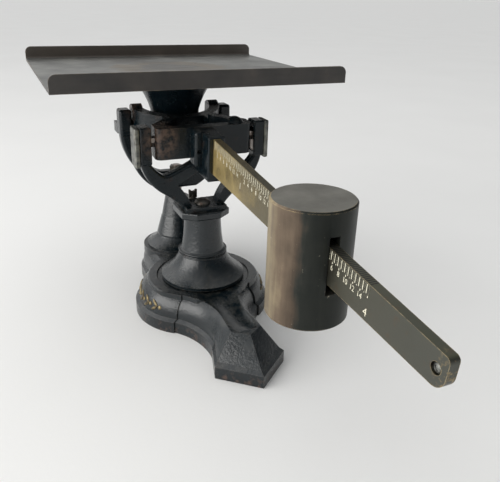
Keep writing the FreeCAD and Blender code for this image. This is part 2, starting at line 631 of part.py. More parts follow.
bolt_nut = solid("Prism", "bolt_nut", ("0", "0", "14"), Polygon="6", Circumradius="7.5", Height="6")
node("pillar_bolt", on_carrier(fuse("pillar_bolt", bolt_head, bolt_shank)))
nut_bore = rod("nut_bore", ("0", "0", "13"), "4.2", "8")
node("pillar_nut", on_carrier(cut("pillar_nut_cut", bolt_nut, nut_bore)))

tray_section = plate("tray_section", [
    ("-tray_depth / 2", TRAY_Z), ("tray_depth / 2", TRAY_Z),
    ("tray_depth / 2", f"{TRAY_Z} + tray_rim"), ("tray_depth / 2 - tray_sheet", f"{TRAY_Z} + tray_rim"),
    ("tray_depth / 2 - tray_sheet", f"{TRAY_Z} + tray_sheet * 2", "-2.5"),
    ("tray_depth / 2 - tray_sheet * 2", f"{TRAY_Z} + tray_sheet"),
    ("tray_sheet * 2 - tray_depth / 2", f"{TRAY_Z} + tray_sheet", "-2.5"),
    ("tray_sheet - tray_depth / 2", f"{TRAY_Z} + tray_sheet * 2"),
    ("tray_sheet - tray_depth / 2", f"{TRAY_Z} + tray_rim"), ("-tray_depth / 2", f"{TRAY_Z} + tray_rim")],
    "tray_length", "YZ_Plane")
trim = plate("tray_trim", [
    ("-tray_length / 2", f"{TRAY_Z} - 1"), ("tray_length / 2", f"{TRAY_Z} - 1"),
    ("tray_length / 2", f"{TRAY_Z} + tray_rim - tray_corner", "tray_corner"),
    ("tray_length / 2 - tray_corner", f"{TRAY_Z} + tray_rim"),
    ("tray_corner - tray_length / 2", f"{TRAY_Z} + tray_rim", "tray_corner"),
    ("-tray_length / 2", f"{TRAY_Z} + tray_rim - tray_corner")], "tray_depth + 4")
tray_common = doc.addObject("Part::MultiCommon", "tray_common")
tray_common.Shapes = [tray_section, trim]
tray_holes = [rod(f"tray_hole_{n}", (x, y, f"{TRAY_Z} - 1"), "2", "6")
              for n, (x, y) in enumerate(TRAY_RIVETS)]
node("tray", on_carrier(cut("tray_cut", tray_common, *tray_holes)))
node("tray_rivets", on_carrier(fuse("tray_rivets", *[
    fuse(f"tray_rivet_{n}", rod(f"tray_rivet_shank_{n}", (x, y, f"{TRAY_Z} - 4"), "2", "4 + tray_sheet"),
         rod(f"tray_rivet_under_{n}", (x, y, f"{TRAY_Z} - 5.8"), "3.5", "1.8"))
    for n, (x, y) in enumerate(TRAY_RIVETS)])))

# ---------------------------------------------------------------- stem and check link
STEM_LOW = "link_height - fulcrum_height - 6"
stem_rod = rod("stem_rod", ("0", "0", STEM_LOW), "stem_radius", f"-fork_bottom - ({STEM_LOW})")
stem_neck = rod("stem_neck", ("0", "0", "-fork_bottom"), "stem_radius - 1", "24")
PIN_Z = "link_height - fulcrum_height"
stem_pin_hole = rod("stem_pin_hole", ("-10", "0", PIN_Z), "link_pin_radius", "20", "x")
stem_fork = block("stem_fork", ("-2.3", "-7", f"{STEM_LOW} - 1"), ("2.3", "7", f"{PIN_Z} + 9"))
stem_blank = fuse("stem_blank", stem_rod, stem_neck)
node("stem", on_carrier(cut("stem_cut", stem_blank, stem_pin_hole, stem_fork)))
stem_hexagon = solid("Prism", "stem_nut_hex", ("0", "0", "19 - fork_bottom"),
                 Polygon="6", Circumradius="7", Height="4")
nut_hole = rod("stem_nut_hole", ("0", "0", "18 - fork_bottom"), "stem_radius - 1", "6")
node("stem_nut", on_carrier(cut("stem_nut_cut", stem_hexagon, nut_hole)))
stem_pin = rod("stem_pin_rod", ("-6", "0", PIN_Z), "link_pin_radius", "12", "x")
pin_set = doc.addObject("Part::Compound", "stem_pin_set")
pin_set.Links = [stem_pin]
node("stem_pin", on_carrier(pin_set))

HUNG = ("0", "0", "link_height")
BRACKET_TOP = "deck_height - base_wall - link_height"
bracket_plate = block("bracket_plate", ("-20", "-8", f"{BRACKET_TOP} - 3"), ("20", "8", BRACKET_TOP))
bracket_legs = [block(f"bracket_leg_{n}", (a, "-5", "-5"), (b, "5", BRACKET_TOP))
                for n, (a, b) in enumerate((("-6.5", "-2.5"), ("2.5", "6.5")))]
bracket_bore = rod("bracket_bore", ("-10", "0", "0"), "link_pin_radius", "20", "x")
bracket_holes = [rod(f"bracket_hole_{n}", (f"{sign} {TIE_X}", "0", f"{BRACKET_TOP} - 4"), "2.7", "6")
                 for n, sign in enumerate(SIDES)]
node("link_bracket", place(cut("bracket_cut", fuse("bracket_blank", bracket_plate, *bracket_legs),
                               bracket_bore, *bracket_holes), HUNG))
link_pin = rod("link_pin_rod", ("-8", "0", "0"), "link_pin_radius", "16", "x")
link_pin_set = doc.addObject("Part::Compound", "link_pin_set")
link_pin_set.Links = [link_pin]
node("link_pin", place(link_pin_set, HUNG))
TIE_SEAT = "deck_height - base_wall - 3"
ties = []
for n, sign in enumerate(SIDES):
    shank = rod(f"tie_shank_{n}", (f"{sign} {TIE_X}", "0", TIE_SEAT), "2.5",
                f"deck_height + 37 - ({TIE_SEAT})")
    hexagon = solid("Prism", f"tie_head_{n}", (f"{sign} {TIE_X}", "0", f"{TIE_SEAT} - 4"),
                    Polygon="6", Circumradius="4.8", Height="4")
    ties.append(fuse(f"tie_bolt_{n}", shank, hexagon))
node("column_bolts", fuse("column_bolts", *ties))

link_bar = plate("link_bar", [
    ("0", "-5"), ("lever_arm", "-5", "5.2"), ("lever_arm", "5"), ("0", "5", "5.2")], "3.8", "YZ_Plane")
fixed_eye = rod("link_fixed_eye", ("-5", "0", "0"), "link_pin_radius + running_fit", "10", "x")
moving_eye = rod("link_moving_eye", ("-5", "lever_arm", "0"), "link_pin_radius + 0.3", "10", "x")
node("check_link", place(cut("link_cut", link_bar, fixed_eye, moving_eye), HUNG, TILT, "droop"))

# ---------------------------------------------------------------- rear locating screw
wing = block("wing", ("-7", "18", "column_top + 3"), ("1", "20", "column_top + 11"))
wing_cut = rod("wing_cut", ("-3", "17", "column_top + 12"), "2.6", "4", "y")
wing_stem = rod("wing_stem", ("-3", "19", "column_top - 10"), "1.5", "16")
wing_collar = rod("wing_collar", ("-3", "19", "column_top"), "3.2", "3.5")
node("wing_screw", cut("wing_shaped", fuse("wing_blank", wing, wing_stem, wing_collar), wing_cut))

doc.recompute()
for item in doc.Objects:
    broken = [word for word in item.State if word in ("Invalid", "Error")]
    if broken:
        raise RuntimeError(f"{item.Name} {item.Label}: {broken}")
for item in NODES:
    if item.Shape.isNull() or not item.Shape.isValid():
        raise RuntimeError(f"{item.Label}: bad shape")
    item.Shape.exportStep(f"parts/{item.Label}.step")
    box = item.Shape.BoundBox
    print(f"{item.Label:24s} solids {len(item.Shape.Solids)} volume {item.Shape.Volume:10.0f}"
          f"  x {box.XMin:7.1f} {box.XMax:7.1f}  y {box.YMin:7.1f} {box.YMax:7.1f}"
          f"  z {box.ZMin:7.1f} {box.ZMax:7.1f}")
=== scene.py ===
# %% [markdown]
# A counter beam scale: an iron base and yoke, a lever that rocks on knife edges, a tray that
# stays level, and a brass beam with a sliding brass poise.  The shapes of the solid parts come
# from the CAD model, which is loaded as a fixed frame.  This file gives those parts their worn
# finishes and adds what is too fine for the CAD: stamped marks, ornament and small fittings.

# %% Load the frame
import bpy
import json
import math
from mathutils import Matrix, Vector


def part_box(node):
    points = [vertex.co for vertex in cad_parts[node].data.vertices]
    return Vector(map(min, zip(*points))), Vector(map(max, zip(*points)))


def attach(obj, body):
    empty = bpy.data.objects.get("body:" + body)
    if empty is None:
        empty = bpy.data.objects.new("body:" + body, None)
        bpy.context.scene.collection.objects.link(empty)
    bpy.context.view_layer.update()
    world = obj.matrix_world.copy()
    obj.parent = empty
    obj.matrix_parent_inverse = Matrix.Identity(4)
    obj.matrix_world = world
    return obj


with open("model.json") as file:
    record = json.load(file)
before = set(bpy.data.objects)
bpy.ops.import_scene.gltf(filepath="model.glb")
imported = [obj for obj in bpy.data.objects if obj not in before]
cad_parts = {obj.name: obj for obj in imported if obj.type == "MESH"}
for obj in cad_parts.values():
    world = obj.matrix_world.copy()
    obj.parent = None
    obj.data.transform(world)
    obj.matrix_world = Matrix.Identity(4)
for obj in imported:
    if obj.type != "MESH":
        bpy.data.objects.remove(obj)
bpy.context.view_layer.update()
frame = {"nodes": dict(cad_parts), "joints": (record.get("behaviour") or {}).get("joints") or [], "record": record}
NODES = frame["nodes"]
JOINTS = {joint["name"]: joint for joint in frame["joints"]}
SLOTS = {part["node"]: part["material_slot"] for part in frame["record"]["subparts"]}
MM = 0.001
print("parts:", len(NODES), "joints:", sorted(JOINTS))

# %% [markdown]
# The camera stands a little left of the beam's tip, at eye height of someone leaning on the
# counter, and looks down along the beam to the tray.  A camera's matrix is built from the three
# directions it needs: where it looks, what is right of it and what is above it.  That is surer
# than turning it by hand, because the small tilt of a hand-held camera is then one number.

# %% Camera
CAMERA_AT = Vector((-0.1653, -0.4683, 0.2907))
LOOK_DOWN = math.radians(23.96)
LOOK_RIGHT = math.radians(24.70)
HAND_TILT = math.radians(-1.70)
SENSOR = 36.0
LENS = 40.58

forward = Vector((math.sin(LOOK_RIGHT) * math.cos(LOOK_DOWN),
                  math.cos(LOOK_RIGHT) * math.cos(LOOK_DOWN), -math.sin(LOOK_DOWN)))
level_right = Vector((math.cos(LOOK_RIGHT), -math.sin(LOOK_RIGHT), 0))
straight_down = forward.cross(level_right)
right = level_right * math.cos(HAND_TILT) + straight_down * math.sin(HAND_TILT)
down = straight_down * math.cos(HAND_TILT) - level_right * math.sin(HAND_TILT)

bpy.ops.object.camera_add()
camera = bpy.context.object
camera.name = "camera"
turned = Matrix((right, -down, -forward)).transposed().to_4x4()
camera.matrix_world = Matrix.Translation(CAMERA_AT) @ turned
camera.data.sensor_width = SENSOR
camera.data.lens = LENS
camera.data.clip_start = 0.02
bpy.context.scene.camera = camera
print("camera looks along", [round(value, 3) for value in forward])

# %% [markdown]
# Every finish here is a tree of nodes.  Wiring nodes one by one takes five lines each time, so a
# few short helpers do it: one adds a node and plugs its inputs, the rest are words for what a
# finisher would ask for, such as grain, a colour scale, or a mask that finds rubbed edges.
# All patterns read Object coordinates, so they stay put when a part moves.

# %% Helpers for finishes
def add(tree, kind, plugs=(), **settings):
    """A node with its settings, and its inputs either joined to another node or set."""
    made = tree.nodes.new("ShaderNode" + kind)
    for key, value in settings.items():
        setattr(made, key, value)
    for key, value in dict(plugs).items():
        if isinstance(value, bpy.types.NodeSocket):
            tree.links.new(value, made.inputs[key])
        else:
            made.inputs[key].default_value = value
    return made


def new_finish(name):
    """An empty material: its tree and its Principled shader."""
    made = bpy.data.materials.new(name)
    made.use_nodes = True
    return made, made.node_tree, made.node_tree.nodes["Principled BSDF"]


def place_of(tree, stretch=(1, 1, 1)):
    """Where a point of the piece is, in metres, stretched for grain that runs one way."""
    where = add(tree, "TexCoord").outputs["Object"]
    return add(tree, "Mapping", {"Vector": where, "Scale": stretch}).outputs["Vector"]


def grain(tree, size, detail=4, stretch=(1, 1, 1), roughness=0.55):
    """Cloudy grain whose blotches are about size metres across, from 0 to 1."""
    return add(tree, "TexNoise", {"Vector": place_of(tree, stretch), "Scale": 1 / size,
                                  "Detail": detail, "Roughness": roughness}).outputs[0]


def span(tree, value, low, high, out_low=0.0, out_high=1.0):
    """Values from low to high become out_low to out_high, and stop there."""
    return add(tree, "MapRange", {"Value": value, "From Min": low, "From Max": high,
                                  "To Min": out_low, "To Max": out_high}).outputs["Result"]


def reckon(tree, operation, first, second):
    """A sum whose answer is kept between 0 and 1, as masks need."""
    return add(tree, "Math", {0: first, 1: second}, operation=operation, use_clamp=True).outputs[0]


def times(tree, first, second):
    return reckon(tree, "MULTIPLY", first, second)


def plus(tree, first, second):
    return reckon(tree, "ADD", first, second)


def less(tree, first, second):
    return reckon(tree, "SUBTRACT", first, second)


def colours(tree, value, *stops):
    """A colour scale: each stop is (place, red, green, blue)."""
    scale = add(tree, "ValToRGB", {"Fac": value})
    marks = scale.color_ramp.elements
    while len(marks) < len(stops):
        marks.new(1.0)
    for mark, (at, *colour) in zip(marks, stops):
        mark.position = at
        mark.color = (*colour, 1)
    return scale.outputs["Color"]


def paint_over(tree, mask, below, above):
    """The colour above laid over the colour below where the mask is 1."""
    return add(tree, "Mix", {0: mask, 6: below, 7: above}, data_type="RGBA").outputs[2]


def rgb(red, green, blue):
    return (red, green, blue, 1)


def rubbed(tree, width, low=0.01, high=0.16):
    """1 along edges that hands and rags have rubbed, 0 elsewhere."""
    round_normal = add(tree, "Bevel", {"Radius": width}, samples=6).outputs["Normal"]
    true_normal = add(tree, "NewGeometry").outputs["Normal"]
    match = add(tree, "VectorMath", {0: round_normal, 1: true_normal}, operation="DOT_PRODUCT")
    edge = less(tree, 1.0, match.outputs["Value"])
    return span(tree, edge, low, high)


def upward(tree, low=0.5, high=0.95):
    """1 on faces that look up, where dust and wear gather."""
    normal = add(tree, "NewGeometry").outputs["Normal"]
    return span(tree, add(tree, "SeparateXYZ", {0: normal}).outputs["Z"], low, high)


def along(tree, axis, low, high):
    """0 to 1 between two places along an axis of the scale, in metres."""
    return span(tree, add(tree, "SeparateXYZ", {0: place_of(tree)}).outputs[axis], low, high)


def relief(tree, shader, *layers):
    """Raise the surface by layers of (height, metres), one on top of the other."""
    normal = None
    for height, metres in layers:
        plugs = {"Height": height, "Distance": metres, "Strength": 1.0}
        if normal is not None:
            plugs["Normal"] = normal
        normal = add(tree, "Bump", plugs).outputs["Normal"]
    tree.links.new(normal, shader.inputs["Normal"])


def wire(tree, shader, **sockets):
    for name, value in sockets.items():
        tree.links.new(value, shader.inputs[name.replace("_", " ")])


def cover(material, *names):
    """Give CAD parts a finish in all their material slots."""
    for name in names:
        slots = NODES[name].material_slots
        for slot in slots:
            slot.material = material
        if not slots:
            NODES[name].data.materials.append(material)


# %% [markdown]
# The castings were dipped in black japan, a glossy baked varnish.  A century of use has dulled
# it to a blue-black with brown where damp got in, bare grey metal where hands rub the edges, and
# rust along the foot.  The varnish is a dark base with a thin clear coat; the casting's own
# pebbly skin shows through it as relief, finer grain on top of coarse.

# %% Black japanned iron
def near_any(tree, places, radius):
    """1 close to any of some places, in metres, fading out at the radius."""
    found = 0.0
    where = place_of(tree)
    for spot in places:
        away = add(tree, "VectorMath", {0: where, 1: spot}, operation="DISTANCE").outputs["Value"]
        found = plus(tree, found, span(tree, away, radius * 0.45, radius, 1.0, 0.0))
    return found


def black_iron(name, wear, gloss, rust_line=None, handled=()):
    """wear is the width of rubbed edges, gloss how strongly the varnish reflects, rust_line the
    height the foot has rusted to, if it has, and handled the places where fingers have worn the
    varnish to brown."""
    made, tree, shader = new_finish(name)
    cloud = grain(tree, 0.018, 6)
    pebble = grain(tree, 0.0022, 3)
    fine = grain(tree, 0.0006, 2)
    varnish = colours(tree, cloud, (0.25, 0.0008, 0.0032, 0.0050), (0.5, 0.0016, 0.0056, 0.0082),
                      (0.75, 0.0075, 0.0115, 0.0135))
    damp = span(tree, grain(tree, 0.011, 5), 0.62, 0.78)
    varnish = paint_over(tree, times(tree, damp, 0.5), varnish, rgb(0.030, 0.018, 0.012))
    if handled:
        broken = span(tree, grain(tree, 0.004, 6), 0.34, 0.60)
        held = times(tree, near_any(tree, handled, 0.019), broken)
        varnish = paint_over(tree, times(tree, held, 0.8), varnish, rgb(0.105, 0.068, 0.050))
    dust = times(tree, upward(tree), span(tree, grain(tree, 0.006, 5), 0.42, 0.75))
    varnish = paint_over(tree, times(tree, dust, 0.45), varnish, rgb(0.085, 0.082, 0.070))
    edge = times(tree, rubbed(tree, wear), span(tree, grain(tree, 0.004, 5), 0.40, 0.66))
    varnish = paint_over(tree, times(tree, edge, 0.6), varnish, rgb(0.095, 0.082, 0.068))
    shine = span(tree, cloud, 0.3, 0.8, 0.17, 0.34)
    if rust_line:
        foot = less(tree, 1.0, along(tree, "Z", rust_line * 0.2, rust_line))
        rust = times(tree, foot, span(tree, grain(tree, 0.005, 6), 0.50, 0.70))
        varnish = paint_over(tree, times(tree, rust, 0.7), varnish, rgb(0.090, 0.050, 0.034))
        shine = plus(tree, shine, times(tree, rust, 0.3))
    wire(tree, shader, Base_Color=varnish, Roughness=shine)
    shader.inputs["IOR"].default_value = 1.5
    shader.inputs["Specular IOR Level"].default_value = gloss
    relief(tree, shader, (pebble, 0.00028), (fine, 0.00005))
    return made


LEVER_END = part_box("fulcrum_knife_left")[1]
LOOP_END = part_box("load_knife_left")[1]
held_places = [(LEVER_END[0] - 0.006, -0.004, 0.170), (LEVER_END[0] - 0.004, 0.0, 0.182),
               (LOOP_END[0] - 0.006, LOOP_END[1], LOOP_END[2] + 0.012)]
base_iron = black_iron("base_iron", 0.0016, 0.62, rust_line=0.012)
working_iron = black_iron("working_iron", 0.0012, 0.32, handled=held_places)
cover(base_iron, "base_casting", "fulcrum_column", "guide_column")
cover(working_iron, "yoke", "lever_casting", "carrier_fork", "pillar", "check_link", "link_bracket")
print("iron on", len(base_iron.node_tree.nodes), "nodes per finish")

# %% [markdown]
# The tray is a rolled iron sheet that was painted once.  Its rims still hold the dark paint; its
# top has been scoured to a dull grey by goods sliding over it, with a tan stain around the middle
# where something stood for years.  A single noise cannot make both, so the wear is masked by the
# face's direction and the stain by the distance from one place.

# %% Tray metal
STAIN_WIDE, STAIN_DEEP = 0.062, 0.050


def tray_metal():
    made, tree, shader = new_finish("tray_metal")
    low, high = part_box("tray")
    middle = (Vector(low) + Vector(high)) / 2
    cloud = grain(tree, 0.030, 6)
    drag = grain(tree, 0.003, 4, stretch=(0.12, 1, 1))
    paint = colours(tree, cloud, (0.3, 0.016, 0.015, 0.014), (0.55, 0.032, 0.028, 0.025),
                    (0.8, 0.066, 0.054, 0.042))
    scoured = plus(tree, times(tree, cloud, 0.6), times(tree, drag, 0.4))
    bare = colours(tree, scoured, (0.32, 0.074, 0.075, 0.071), (0.50, 0.150, 0.151, 0.142),
                   (0.70, 0.270, 0.269, 0.250))
    # The paint is lighter brown over the back half of the tray, fading in from the middle.
    back_half_lighter_paint = times(tree, along(tree, "Y", middle.y, high[1]), 0.35)
    paint = paint_over(tree, back_half_lighter_paint, paint, rgb(0.110, 0.088, 0.068))
    top = times(tree, upward(tree, 0.7, 0.98), span(tree, grain(tree, 0.05, 5), 0.22, 0.45))
    colour = paint_over(tree, top, paint, bare)
    spot = add(tree, "Mapping", {
        "Vector": place_of(tree), "Scale": (1 / STAIN_WIDE, 1 / STAIN_DEEP, 0),
        "Location": (0.05 - middle.x / STAIN_WIDE, -middle.y / STAIN_DEEP - 0.15, 0)}).outputs["Vector"]
    reach = add(tree, "VectorMath", {0: spot}, operation="LENGTH").outputs["Value"]
    uneven = plus(tree, times(tree, reach, 0.5), times(tree, grain(tree, 0.02, 5), 0.5))
    stain = less(tree, 1.0, span(tree, uneven, 0.55, 0.72))
    ring = times(tree, stain, span(tree, uneven, 0.45, 0.66))
    marked = times(tree, ring, top)
    colour = paint_over(tree, marked, colour, rgb(0.200, 0.150, 0.090))
    inside = times(tree, times(tree, stain, less(tree, 1.0, ring)), top)
    colour = paint_over(tree, times(tree, inside, 0.6), colour, rgb(0.060, 0.052, 0.042))
    edge = times(tree, rubbed(tree, 0.0010), span(tree, grain(tree, 0.006, 5), 0.35, 0.6))
    colour = paint_over(tree, times(tree, edge, 0.8), colour, rgb(0.210, 0.170, 0.120))
    wire(tree, shader, Base_Color=colour, Roughness=span(tree, drag, 0.3, 0.7, 0.34, 0.50),
         Metallic=times(tree, top, 0.55))
    shader.inputs["Specular IOR Level"].default_value = 0.6
    relief(tree, shader, (cloud, 0.0004), (drag, 0.00006))
    return made


cover(tray_metal(), "tray")

# %% [markdown]
# The beam is cast brass, filed flat.  Near the lever it is still golden, because the poise seldom
# rides there and the grease kept it; toward the tip it has gone the grey-brown of old coins.  The
# change is a colour scale read along the beam, broken up by cloudy grain so that it has no line.

# %% Beam brass
def beam_brass():
    made, tree, shader = new_finish("beam_brass")
    low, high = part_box("beam")
    cloud = grain(tree, 0.022, 6)
    file_marks = grain(tree, 0.0012, 3, stretch=(1, 0.06, 1))
    near = along(tree, "Y", low[1], high[1])
    age = plus(tree, near, times(tree, less(tree, cloud, 0.5), 0.30))
    metal = colours(tree, age, (0.0, 0.090, 0.092, 0.080), (0.40, 0.105, 0.100, 0.074),
                    (0.66, 0.160, 0.135, 0.080),
                    (0.84, 0.480, 0.370, 0.160), (0.96, 0.820, 0.610, 0.250))
    tarnish = times(tree, upward(tree, 0.6, 0.9), span(tree, cloud, 0.25, 0.7))
    metal = paint_over(tree, times(tree, tarnish, 0.75), metal, rgb(0.085, 0.088, 0.055))
    blotch = span(tree, grain(tree, 0.007, 6), 0.58, 0.74)
    metal = paint_over(tree, times(tree, blotch, 0.5), metal, rgb(0.115, 0.080, 0.055))
    edge = times(tree, rubbed(tree, 0.0008), span(tree, grain(tree, 0.003, 4), 0.30, 0.55))
    metal = paint_over(tree, times(tree, edge, 0.7), metal, rgb(0.560, 0.450, 0.260))
    nose = near_any(tree, [(0.003, low[1], low[2] + 0.014), (0.0, low[1], low[2] + 0.004)], 0.011)
    chips = times(tree, nose, span(tree, grain(tree, 0.0028, 5), 0.52, 0.66))
    metal = paint_over(tree, times(tree, chips, 0.6), metal, rgb(0.420, 0.310, 0.150))
    wire(tree, shader, Base_Color=metal, Roughness=span(tree, cloud, 0.3, 0.7, 0.30, 0.48))
    shader.inputs["Metallic"].default_value = 0.9
    relief(tree, shader, (cloud, 0.0002), (file_marks, 0.00004))
    return made


cover(beam_brass(), "beam")
cover(working_iron, "beam_rivets")

# %% [markdown]
# The poise is a turned brass drum, so dark that it looks like bronze.  Its side toward the window is
# painted tan as a painted highlight, and the rest of its side near-black as painted shade, in streaks
# that run up and down.  Hands leave a bright ring at its upper rim and a few bright nicks.
# The top is a flatter warm grey with faint turning rings.

# %% Poise brass
# Direction of the window: the poise's side that faces it is painted lighter, a painted highlight.
WINDOW_HIGHLIGHT_SIDE = (-0.91, 0.42, 0)


def poise_brass():
    made, tree, shader = new_finish("poise_brass")
    low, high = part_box("poise")
    middle = (Vector(low) + Vector(high)) / 2
    streak = grain(tree, 0.008, 5, stretch=(1, 1, 0.10))
    cloud = grain(tree, 0.020, 6)
    age = plus(tree, times(tree, streak, 0.6), times(tree, cloud, 0.4))
    centred = add(tree, "Mapping", {"Vector": place_of(tree), "Location": (-middle.x, -middle.y, 0)})
    centred = centred.outputs["Vector"]
    # Painted light: the side toward the window is painted tan as a painted highlight, the rest near-black as
    # painted shade, broken by streaky grain.
    toward_painted_highlight = add(tree, "VectorMath", {0: centred, 1: WINDOW_HIGHLIGHT_SIDE}, operation="DOT_PRODUCT")
    wander = times(tree, less(tree, age, 0.35), 0.024)
    painted_highlight_side = span(tree, plus(tree, toward_painted_highlight.outputs["Value"], wander), 0.010, 0.031)
    tone = plus(tree, times(tree, painted_highlight_side, 0.72), times(tree, age, 0.30))
    side = colours(tree, tone, (0.08, 0.009, 0.012, 0.011), (0.20, 0.026, 0.028, 0.024),
                   (0.34, 0.070, 0.052, 0.038), (0.60, 0.150, 0.112, 0.078), (0.88, 0.340, 0.280, 0.175))
    rings = add(tree, "TexWave", {"Vector": centred, "Scale": 260.0, "Distortion": 1.2, "Detail": 2.0},
                wave_type="RINGS", rings_direction="Z").outputs["Fac"]
    top_colour = colours(tree, cloud, (0.3, 0.125, 0.120, 0.102), (0.5, 0.160, 0.155, 0.134),
                         (0.7, 0.205, 0.198, 0.172))
    top = upward(tree, 0.8, 0.97)
    metal = paint_over(tree, top, side, top_colour)
    nick = span(tree, grain(tree, 0.0030, 5), 0.70, 0.76)
    metal = paint_over(tree, times(tree, nick, 0.6), metal, rgb(0.420, 0.380, 0.300))
    edge = times(tree, rubbed(tree, 0.0009, 0.02, 0.14), span(tree, grain(tree, 0.005, 5), 0.38, 0.60))
    rims = plus(tree, along(tree, "Z", high[2] - 0.0030, high[2] - 0.0015),
                less(tree, 1.0, along(tree, "Z", low[2] + 0.0015, low[2] + 0.0030)))
    metal = paint_over(tree, times(tree, edge, rims), metal, rgb(0.480, 0.370, 0.200))
    wire(tree, shader, Base_Color=metal, Roughness=span(tree, age, 0.3, 0.7, 0.36, 0.52))
    shader.inputs["Metallic"].default_value = 0.7
    relief(tree, shader, (cloud, 0.00025), (times(tree, rings, top), 0.00002), (streak, 0.00005))
    return made


cover(poise_brass(), "poise")

# %% [markdown]
# Knives, bearings and the plates that close the yoke's heads are bare steel, kept oily and never
# painted.  Their grain is fine and runs along the ground faces.  Screws and rivets are the same
# steel gone brown, with a brighter head where the driver has slipped.

# %% Steel
def steel(name, light, dark, stain, roughness):
    made, tree, shader = new_finish(name)
    cloud = grain(tree, 0.006, 5)
    ground = grain(tree, 0.0008, 3, stretch=(0.1, 1, 1))
    metal = colours(tree, cloud, (0.3, *dark), (0.7, *light))
    spotted = span(tree, grain(tree, 0.004, 6), 0.52, 0.68)
    metal = paint_over(tree, times(tree, spotted, 0.7), metal, rgb(*stain))
    edge = times(tree, rubbed(tree, 0.0006), 0.8)
    metal = paint_over(tree, edge, metal, rgb(*[min(1.0, value * 1.5) for value in light]))
    shine = span(tree, ground, 0.3, 0.7, roughness - 0.08, roughness + 0.1)
    wire(tree, shader, Base_Color=metal, Roughness=shine)
    shader.inputs["Metallic"].default_value = 0.95
    relief(tree, shader, (cloud, 0.0001), (ground, 0.00003))
    return made


knife_steel = steel("knife_steel", (0.42, 0.38, 0.35), (0.20, 0.17, 0.15), (0.12, 0.06, 0.035), 0.36)
plate_steel = steel("plate_steel", (0.30, 0.30, 0.27), (0.05, 0.055, 0.055), (0.08, 0.06, 0.045), 0.40)
screw_steel = steel("screw_steel", (0.20, 0.19, 0.17), (0.07, 0.062, 0.055), (0.10, 0.052, 0.032), 0.42)
cover(knife_steel, *[name for name, slot in SLOTS.items() if slot == "hard_steel"])
cover(plate_steel, "yoke_cap_left", "yoke_cap_right")
cover(screw_steel, *[name for name, slot in SLOTS.items() if slot == "dark_screws"])
bare = [name for name, part in NODES.items() if not part.data.materials or part.data.materials[0] is None]
print("parts still bare:", bare)

# %% [markdown]
# The beam is stamped with its scale: a line for every half ounce, a slightly longer one for every
# ounce, the longest for every second ounce with its number below, and a large figure at each
# pound.  Lines that repeat evenly are one small bar and an array, which keeps the pitch exact.
# They are laid out with the beam level, then turned down with it to its resting droop.  Chalk and
# polish have filled the stamped lines, so pale bars a few hundredths proud of the face look the same.

# %% Beam scale
DROOP = math.radians(4.5)
FULCRUM = Vector(next(joint["pos_m"] for joint in frame["joints"] if joint["name"] == "lever_rock"))
POUND = 56 * MM
OUNCE = POUND / 16
SCALE_START = -39 * MM
POUNDS = 4
PROUD = 0.04 * MM

beam_here = NODES["beam"].matrix_world
level_to_rest = Matrix.Translation(FULCRUM) @ Matrix.Rotation(DROOP, 4, "X")
rest_to_level = level_to_rest.inverted()
level_points = [rest_to_level @ (beam_here @ corner.co) for corner in NODES["beam"].data.vertices]
tail_y = max(point.y for point in level_points)
tip_y = min(point.y for point in level_points)
tail_top = max(point.z for point in level_points if point.y > tail_y - MM)
tip_top = max(point.z for point in level_points if point.y < tip_y + 4 * MM)
fall = (tail_top - tip_top) / (tail_y - tip_y - 3 * MM)
face_x = min(point.x for point in level_points)


def top_at(y):
    """Height of the level beam's top edge at a place along it."""
    return tail_top - (tail_y - y) * fall


def settle(name, body, finish, turn=None):
    """Bake a piece's place into its mesh, give it a finish and let it ride a body."""
    piece = bpy.context.object
    piece.name = name
    bpy.ops.object.transform_apply(location=True, rotation=True, scale=True)
    if turn is not None:
        piece.matrix_world = turn
        bpy.ops.object.transform_apply(location=True, rotation=True, scale=True)
    piece.data.materials.append(finish)
    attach(piece, body)
    return piece


def modify(kind, **settings):
    """Add a modifier to the piece in hand and apply it."""
    made = bpy.context.object.modifiers.new(kind.lower(), kind)
    for key, value in settings.items():
        setattr(made, key, value)
    bpy.ops.object.modifier_apply(modifier=made.name)


def bar_row(name, at, size, pitch, count, finish):
    """A row of slim bars down the beam, the first one centred at a point of the level beam."""
    bpy.ops.object.select_all(action="DESELECT")
    bpy.ops.mesh.primitive_cube_add(size=1, location=at, scale=size)
    bpy.ops.object.transform_apply(location=True, rotation=True, scale=True)
    modify("BEVEL", width=min(size) * 0.3, segments=1)
    modify("ARRAY", count=count, use_relative_offset=False, use_constant_offset=True,
           constant_offset_displace=(0, -pitch, -pitch * fall))
    return settle(name, "lever", finish, level_to_rest)


chalk, tree, shader = new_finish("mark_chalk")
wire(tree, shader, Base_Color=colours(tree, grain(tree, 0.003, 4), (0.25, 0.300, 0.280, 0.200),
                                      (0.50, 0.640, 0.610, 0.480)))
shader.inputs["Roughness"].default_value = 0.55
LINES = (("half_ounce_lines", OUNCE / 2, 5.6 * MM, 0.55 * MM, POUNDS * 32 + 1),
         ("ounce_lines", OUNCE, 6.2 * MM, 0.60 * MM, POUNDS * 16 + 1),
         ("number_lines", OUNCE * 2, 7.4 * MM, 0.66 * MM, POUNDS * 8 + 1))
for name, pitch, length, width, count in LINES:
    middle = top_at(SCALE_START) - 0.7 * MM - length / 2
    bar_row(name, (face_x, SCALE_START, middle), (PROUD * 2, width, length), pitch, count, chalk)
